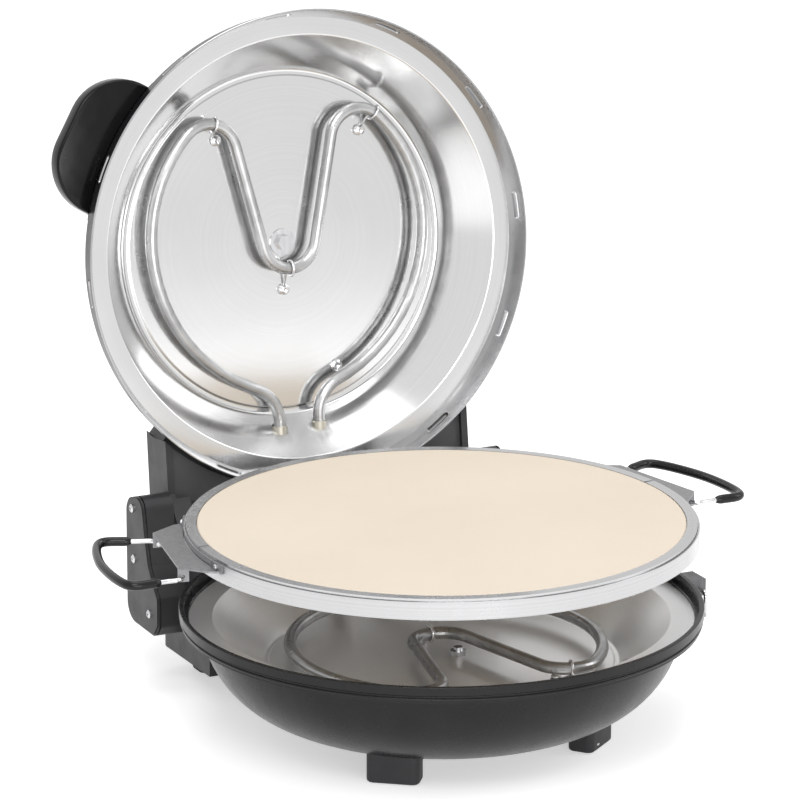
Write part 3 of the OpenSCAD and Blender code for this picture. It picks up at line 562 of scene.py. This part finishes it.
HANDLE_TURN = FRONT - 58.6  # the handle is a paddle on a plate
PADDLE_ROOT_R = 120
PADDLE_TIP_R = 185.2
PADDLE_HALF = 45.6
PADDLE_W = (14.6, 27.0)
PADDLE_CORNER = 33
PADDLE_BOW = 1.5  # of its straight outer side
PADDLE_BOW_FROM = 150
PADDLE_EDGE = 2.2
PADDLE_PLAY = 2.7
PLATE_W = (15.6, 34.0)
PLATE_SHEET = 2.5
PLATE_HALF_TURN = 18.6
PLATE_SCREW_TURN = 9.5
PLATE_SCREW_W = 30.6


def dome_outline(offset):
    """Outer side of the dome, moved out by offset, from its bottom edge to the crown."""
    sa, ca = math.sin(DOME_SLOPE), math.cos(DOME_SLOPE)
    side = (DOME_W - DOME_EDGE_W - DOME_ROUND * (1 - sa)) / ca
    centre = (FOLD_R - side * sa - DOME_ROUND * ca, DOME_EDGE_W + side * ca - DOME_ROUND * sa)
    shoulder = arc_points(centre, DOME_ROUND + offset, DOME_SLOPE, math.pi / 2, 14)
    return [(FOLD_R + offset / ca, DOME_EDGE_W)] + shoulder + [(0.0, DOME_W + offset)]


def dome_radius(w):
    """Radius of the dome's sloping wall at a height."""
    return FOLD_R - (w - DOME_EDGE_W) * math.tan(DOME_SLOPE)


def on_dome(degrees, w, lift, side=1):
    """Place square to the dome's wall, lifted off it: outside, or inside where side is -1."""
    return (LID_PLACE @ turn("Z", degrees) @ move(dome_radius(w), 0, w)
            @ Matrix.Rotation(side * math.pi / 2 - DOME_SLOPE, 4, "Y") @ move(0, 0, lift))


def make_lid_pan(steel, ferrule):
    outline = pan_outline(flange_r=FOLD_R - 0.2, top_r=140.0, floor_r=114.8, step_r=110.5,
                          floor=47.8, top=FOLD_W + 0.05)
    pan = revolve("lid_pan", outline, LID_PLACE)
    bore_terminals(pan, LID_PLACE, LID_HOLE_Y, LID_ELEMENT_W)
    finish_piece(pan, "lid", "bright_steel", steel, "lid_reflector")
    bushes = make_ferrules("lid_bushes", LID_PLACE, LID_FERRULE_Y, LID_ELEMENT_W,
                           LID_FERRULE_LENGTH)
    finish_piece(bushes, "lid", "ferrule", ferrule, "upper_ferrules")


def make_collar(steel, paint):
    """Conical band with vent slots: bare steel inside, painted outside."""
    outline = [(RIM_R - SHEET, 0.5), (RIM_R - 0.9, 0), (RIM_R - 0.2, 0), (RIM_R + 0.15, 0.5),
               (RIM_R, 1.4), (FOLD_R + 2.7, FOLD_W), (FOLD_R - SHEET, FOLD_W)]
    collar = revolve("lid_collar", outline, LID_PLACE, marks=[0, 0, 0, 1, 1, 1, 0])
    collar.data.materials.append(steel)
    collar.data.materials.append(paint)
    slot = soften(rectangle(SLOT_HALF_WIDE, SLOT_HALF_LONG), [SLOT_CORNER] * 4)
    for i in range(SLOT_COUNT):
        place = (LID_PLACE @ turn("Z", SLOT_FIRST + 360 / SLOT_COUNT * i)
                 @ move(RIM_R - 12, 0, SLOT_W) @ turn("Y", 90))
        cut(collar, prism("slot", slot, 0, 20, place))
    finish_piece(collar, "lid", "black_steel", None, "vent_collar")


def make_dome(paint):
    outline = dome_outline(0) + dome_outline(-SHEET)[::-1]
    finish_piece(revolve("lid_shell", outline, LID_PLACE), "lid", "black_steel", paint, "lid_dome")


def make_saddle(plastic, screw):
    """Filling between the dome and the hinge block, and the screws inside the dome."""
    low, high = SADDLE_W
    outline = [(dome_radius(low) + 0.4, low), (SADDLE_R, low), (SADDLE_R, high),
               (dome_radius(high) + 0.4, high)]
    saddle = revolve("block_saddle", outline, LID_PLACE, SADDLE_FROM, SADDLE_TO, 96)
    finish_piece(saddle, "lid", "dark_plastic", plastic)
    heads = [pan_head("saddle_screws", 3.0, 1.8, on_dome(t, BLOCK_SCREW_W, SHEET + 0.1, side=-1))
             for t in BLOCK_SCREW_TURNS]
    finish_piece(join(heads), "lid", "fastener", screw, "block_screws")


def make_paddle(gloss):
    """Flat D-shaped handle, hollowed to the dome behind it."""
    half = PADDLE_HALF
    outline = soften([(PADDLE_ROOT_R, -half), (PADDLE_TIP_R, -half), (PADDLE_TIP_R, half),
                      (PADDLE_ROOT_R, half)], [0, PADDLE_CORNER, PADDLE_CORNER, 0], 14)
    bowed = [(x + PADDLE_BOW * max(0.0, 1 - (y / half) ** 2) if x > PADDLE_BOW_FROM else x, y)
             for x, y in outline]
    paddle = prism("lid_paddle", bowed, *PADDLE_W, LID_PLACE @ turn("Z", HANDLE_TURN))
    round_edges(paddle, PADDLE_EDGE, 4)
    room = [(0.0, 0.0), (FOLD_R + 3, 0.0)] + dome_outline(PADDLE_PLAY)
    cut(paddle, revolve("room", room, LID_PLACE))
    finish_piece(paddle, "lid", "gloss_black", gloss, "lid_handle")


def make_handle_plate(gloss, screw):
    """Thin plate that follows the dome behind the handle, with its two screws."""
    low, high = PLATE_W
    out = PLATE_SHEET / math.cos(DOME_SLOPE)
    outline = soften([(dome_radius(low) + 0.1, low), (dome_radius(low) + out, low),
                      (dome_radius(high) + out, high), (dome_radius(high) + 0.1, high)],
                     [0, 0.8, 0.8, 0])
    plate = revolve("paddle_flange", outline, LID_PLACE,
                    math.radians(HANDLE_TURN - PLATE_HALF_TURN),
                    math.radians(HANDLE_TURN + PLATE_HALF_TURN), 48)
    finish_piece(plate, "lid", "gloss_black", gloss, "lid_handle_base")
    heads = [pan_head("paddle_screws", 2.4, 1.6,
                      on_dome(HANDLE_TURN + t, PLATE_SCREW_W, PLATE_SHEET + 0.05))
             for t in (-PLATE_SCREW_TURN, PLATE_SCREW_TURN)]
    finish_piece(join(heads), "lid", "fastener", screw, "lid_handle_screws")


def make_lid_clips(wire, screw):
    """Clips and screws on the sides that the photographed lid has them."""
    finish_piece(copy_of("upper_clips", "lid_clips", mirrored=True), "lid", "wire_steel",
                 wire, "upper_clips")
    finish_piece(copy_of("upper_clip_screws", "lid_clip_screws", mirrored=True), "lid",
                 "fastener", screw, "upper_clip_screws")


def make_lid(shared):
    paint = black_paint("dome_paint", LID_CENTRE, -LID_OPEN)
    make_lid_pan(polished_pan("lid_pan_steel", LID_CENTRE, -LID_OPEN, 0.68, 0.15),
                 shared["ferrule"])
    make_collar(ring_steel("collar_steel", LID_CENTRE, -LID_OPEN, (0.42, 0.42, 0.425),
                           (0.50, 0.50, 0.505), 0.17), paint)
    make_dome(paint)
    make_saddle(shared["plastic"], shared["screw"])
    make_paddle(shared["gloss"])
    make_handle_plate(shared["gloss"], shared["screw"])
    make_lid_clips(shared["wire"], shared["screw"])
    dress(shared["tube"], "upper_element")
    dress(shared["screw"], "lid_centre_bolt", "lid_centre_washer")
    dress(shared["plastic"], "hinge_block")
    dress(moulded("panel_plastic", (0.060, 0.060, 0.063), (0.075, 0.075, 0.078), 0.50),
          "block_front_panel")


# ---- base, in millimetres: heights count up from the bowl's flange -----------------------------
BASE_ELEMENT_W = -18
BASE_HOLE_Y = 108
BASE_FERRULE_Y = 120.5
BASE_FERRULE_LENGTH = 11
STUD_X = 12
STUD_HOLE_R = 3.1

BOWL_ROUND = 64.8  # of the bowl's wall, from its flat bottom up
BOWL_ROUND_CENTRE = (89, 81)  # distance from the axis, height above the ground
FOOT_HALF = (17, 9)
FOOT_CORNER = 5
FOOT_EDGE = 2.0
FOOT_SCREW_ROOM_R = 4.6
# Place of each foot on the ground, its turn in degrees and its height
FEET = ((-68, -71, -38, 27), (72, -67, 38, 27), (-76, 176, 0, 15.9), (76, 176, 0, 15.9))


def make_base_pan(steel, ferrule):
    outline = pan_outline(flange_r=160.8, top_r=145.7, floor_r=113.3, step_r=109.8,
                          floor=28.8, top=0.0)
    downwards = Matrix.Scale(-1, 4, (0, 0, 1))
    pan = revolve("base_pan", outline, BASE_PLACE @ downwards)
    bore_terminals(pan, BASE_PLACE, BASE_HOLE_Y, BASE_ELEMENT_W)
    cut(pan, revolve("hole", rod_shape(STUD_HOLE_R, 8, z0=-34), BASE_PLACE @ move(STUD_X, 0, 0),
                     steps=32))
    finish_piece(pan, "base", "bright_steel", steel, "base_reflector")
    bushes = make_ferrules("base_bushes", BASE_PLACE, BASE_FERRULE_Y, BASE_ELEMENT_W,
                           BASE_FERRULE_LENGTH)
    finish_piece(bushes, "base", "ferrule", ferrule, "lower_ferrules")


def make_feet(rubber):
    """Straight block feet with rounded lower edges. The front ones are cut to the bowl."""
    ground = move(AXIS.x, AXIS.y, 0) @ Matrix.Scale(MM, 4)
    outline = soften(rectangle(*FOOT_HALF), [FOOT_CORNER] * 4)
    bottom, top = BOWL_ROUND_CENTRE[1] - BOWL_ROUND, BOWL_ROUND_CENTRE[1]
    wall = arc_points(BOWL_ROUND_CENTRE, BOWL_ROUND, -math.pi / 2, 0.0, 24)
    bowl = [(0.0, bottom)] + wall + [(0.0, top)]
    feet = []
    for x, y, degrees, height in FEET:
        place = ground @ move(x, y, 0)
        foot = prism("block_feet", outline, 0.0, height, place @ turn("Z", degrees))
        round_edges(foot, FOOT_EDGE, 3)
        if y < 0:
            cut(foot, revolve("bowl_room", bowl, ground))
        screw_room = rod_shape(FOOT_SCREW_ROOM_R, 7, z0=-2)
        cut(foot, revolve("screw_room", screw_room, place, steps=32))
        feet.append(foot)
    finish_piece(join(feet), "base", "rubber", rubber, "feet")


def make_lug(steel, wire):
    """The lug and hook at the right, which the photograph shows alone."""
    finish_piece(copy_of("side_lugs", "right_lug", right_only=True), "base", "black_steel",
                 steel, "side_lugs")
    finish_piece(copy_of("lug_hooks", "right_lug_hook", right_only=True), "base",
                 "wire_steel", wire, "lug_hooks")


def make_base(shared):
    # The base pan's steel is painted lighter (0.88, partly diffuse) than the lid pan's (0.68):
    # painted light that makes up for the shade the tray casts into the pan.
    make_base_pan(polished_pan("base_pan_steel_painted_light", BASE_CENTRE, 0.0, 0.88, 0.30, 0.7),
                  shared["ferrule"])
    make_feet(moulded("foot_rubber", (0.022, 0.022, 0.024), (0.034, 0.034, 0.036), 0.55))
    make_lug(sheet_steel("lug_steel", (0.10, 0.10, 0.105), (0.17, 0.17, 0.175), 0.42, 0.6),
             shared["wire"])
    dress(black_paint("bowl_paint", BASE_CENTRE, 0.0), "base_shell")
    dress(shared["tube"], "lower_element")
    dress(shared["wire"], "lower_clips")
    dress(shared["screw"], "lower_clip_screws", "sensor_stud", "foot_screws", "housing_screws",
          "box_cover_screws", "hinge_pins")
    dress(shared["plastic"], "rear_housing", "left_hinge_box", "right_hinge_box",
          "left_box_cover", "right_box_cover", "thermostat_knob")
    dress(shared["gloss"], "power_inlet")
    dress(sheet_steel("contact_brass", (0.62, 0.50, 0.28), (0.72, 0.60, 0.36), 0.30),
          "inlet_pins")
    dress(moulded("lamp_lens", (0.45, 0.03, 0.02), (0.55, 0.05, 0.03), 0.12, grain=0.05),
          "indicator_lamp")


# ---- tray, in millimetres: a wire loop's line is (out from the hook, along the rim) ------------
HOOK_R = 176.0
HOOK_TURN = 11.6
WIRE_R = 1.5
GRIP_R = 3.0
GRIP_END_R = (1.9, 2.5, 2.85)  # the sleeve's first three sections
GRIP_FROM = 15
LOOP_HALF = [(0, 33.2), (0.15, 36.6), (1.2, 39.8), (4.2, 41.9), (12, 42.8), (22, 45.0),
             (30, 46.6), (35.2, 44.8), (38.6, 38.5), (41.4, 27), (43.3, 13), (44.0, 0)]


def make_tray_handles(wire, grip):
    """Wire loops with bowed outer sides, each half-covered by a black sleeve."""
    line = smooth_line(LOOP_HALF + [(u, -t) for u, t in LOOP_HALF[-2::-1]])
    covered = [q for q in line if q.x > GRIP_FROM]
    radii = [GRIP_R] * len(covered)
    for k, r in enumerate(GRIP_END_R):
        radii[k] = radii[-1 - k] = r
    for side, name in ((-1, "left"), (1, "right")):
        body = name + "_handle"
        height = middle(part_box(name + "_wire_handle"))[2]
        place = (move(AXIS.x, AXIS.y, height) @ Matrix.Diagonal((side, 1, 1, 1))
                 @ turn("Z", HOOK_TURN) @ Matrix.Scale(MM, 4) @ move(HOOK_R, 0, 0))
        rod = sweep(name + "_loop", line, [WIRE_R] * len(line), place)
        finish_piece(rod, body, "wire_steel", wire, name + "_wire_handle")
        sleeve = sweep(name + "_sleeve", covered, radii, place, 28)
        finish_piece(sleeve, body, "gloss_black", grip, name + "_grip")


def make_tray(shared):
    make_tray_handles(shared["wire"], moulded("grip_black", (0.004, 0.004, 0.0045),
                                              (0.007, 0.007, 0.0075), 0.2, grain=0.05, spec=0.3))
    dress(stone_clay(), "pizza_stone")
    dress(ring_steel("ring_steel", STONE_CENTRE, 0.0, (0.44, 0.44, 0.445), (0.54, 0.54, 0.545),
                     0.24), "front_ring_half", "rear_ring_half", "tray_hoop")
    dress(sheet_steel("bracket_steel", (0.22, 0.22, 0.225), (0.30, 0.30, 0.305), 0.45, 0.75),
          "left_bracket", "right_bracket")
    dress(shared["screw"], "bracket_screws")


def shared_materials():
    """Materials that pieces of several bodies have."""
    return {
        "plastic": moulded("hinge_plastic", (0.030, 0.030, 0.032), (0.042, 0.042, 0.044), 0.42),
        "gloss": moulded("handle_gloss", (0.004, 0.004, 0.0045), (0.006, 0.006, 0.0065), 0.15,
                         grain=0.03, spec=0.2),
        "tube": tube_steel(),
        "screw": sheet_steel("screw_steel", (0.55, 0.55, 0.56), (0.72, 0.72, 0.73), 0.20),
        "ferrule": sheet_steel("ferrule_metal", (0.40, 0.38, 0.33), (0.55, 0.52, 0.45), 0.38),
        "wire": sheet_steel("wire_chrome", (0.60, 0.60, 0.61), (0.72, 0.72, 0.73), 0.13),
    }


# ---- floor, world and lights -------------------------------------------------------------------
FLOOR_HALF = 6.0
FLOOR_DROP = 0.0005  # below the feet
FLOOR_GLOW = 0.5
WORLD_LIGHT = 0.55
WHITE = (1, 1, 1, 1)


def seen_ray(tree):
    """1 where a camera, mirror or transmission ray meets the surface, 0 for other light."""
    path = tree.nodes.new("ShaderNodeLightPath")
    total = path.outputs["Is Camera Ray"]
    for name in ("Is Glossy Ray", "Is Transmission Ray"):
        add = tree.nodes.new("ShaderNodeMath")
        add.operation = "MAXIMUM"
        tree.links.new(total, add.inputs[0])
        tree.links.new(path.outputs[name], add.inputs[1])
        total = add.outputs[0]
    return total


def make_floor():
    s = FLOOR_HALF
    mesh = bpy.data.meshes.new("floor")
    mesh.from_pydata([(-s, -s, 0), (s, -s, 0), (s, s, 0), (-s, s, 0)], [], [(0, 1, 2, 3)])
    floor = new_object("floor", mesh)
    floor.location.z = -FLOOR_DROP
    m = Mat("floor_white", (0.90, 0.90, 0.90), 0.9, spec=0.0)
    m.drive("Base Color", m.ramp(m.noise(3, 2), 0.2, 0.8, (0.895, 0.895, 0.895),
                                 (0.905, 0.905, 0.905)))
    m.put("Emission Color", WHITE)
    m.drive("Emission Strength", m.math("MULTIPLY", seen_ray(m.tree), FLOOR_GLOW))
    mesh.materials.append(m.mat)


def make_world():
    """Soft light from all round, seen as plain white."""
    world = bpy.data.worlds.new("studio")
    world.use_nodes = True
    t = world.node_tree
    light = t.nodes["Background"]
    light.inputs["Color"].default_value = WHITE
    light.inputs["Strength"].default_value = WORLD_LIGHT
    seen = t.nodes.new("ShaderNodeBackground")
    seen.inputs["Color"].default_value = WHITE
    seen.inputs["Strength"].default_value = 1.0
    mix = t.nodes.new("ShaderNodeMixShader")
    t.links.new(seen_ray(t), mix.inputs[0])
    t.links.new(light.outputs[0], mix.inputs[1])
    t.links.new(seen.outputs[0], mix.inputs[2])
    t.links.new(mix.outputs[0], t.nodes["World Output"].inputs["Surface"])
    bpy.context.scene.world = world


def area_light(name, location, target, size, power):
    data = bpy.data.lights.new(name, "AREA")
    data.shape = "RECTANGLE"
    data.size, data.size_y = size
    data.energy = power
    lamp = new_object(name, data)
    lamp.location = location
    lamp.rotation_euler = (Vector(target) - Vector(location)).to_track_quat("-Z", "Y").to_euler()


def make_lights():
    mid = (0.0, 0.0, 0.18)
    area_light("key", (-1.1, -1.6, 2.2), mid, (1.3, 1.3), 26.0)
    area_light("fill", (1.9, -1.0, 1.3), mid, (1.0, 1.6), 12.0)
    area_light("top", (0.2, 0.3, 2.4), mid, (1.6, 1.2), 14.0)
    area_light("low", (-0.5, -2.2, 0.45), (0.0, 0.0, 0.08), (1.8, 0.6), 17.0)


make_camera()
make_world()
make_floor()
make_lights()
materials = shared_materials()
make_lid(materials)
make_base(materials)
make_tray(materials)

bpy.context.scene.view_settings.view_transform = "Standard"
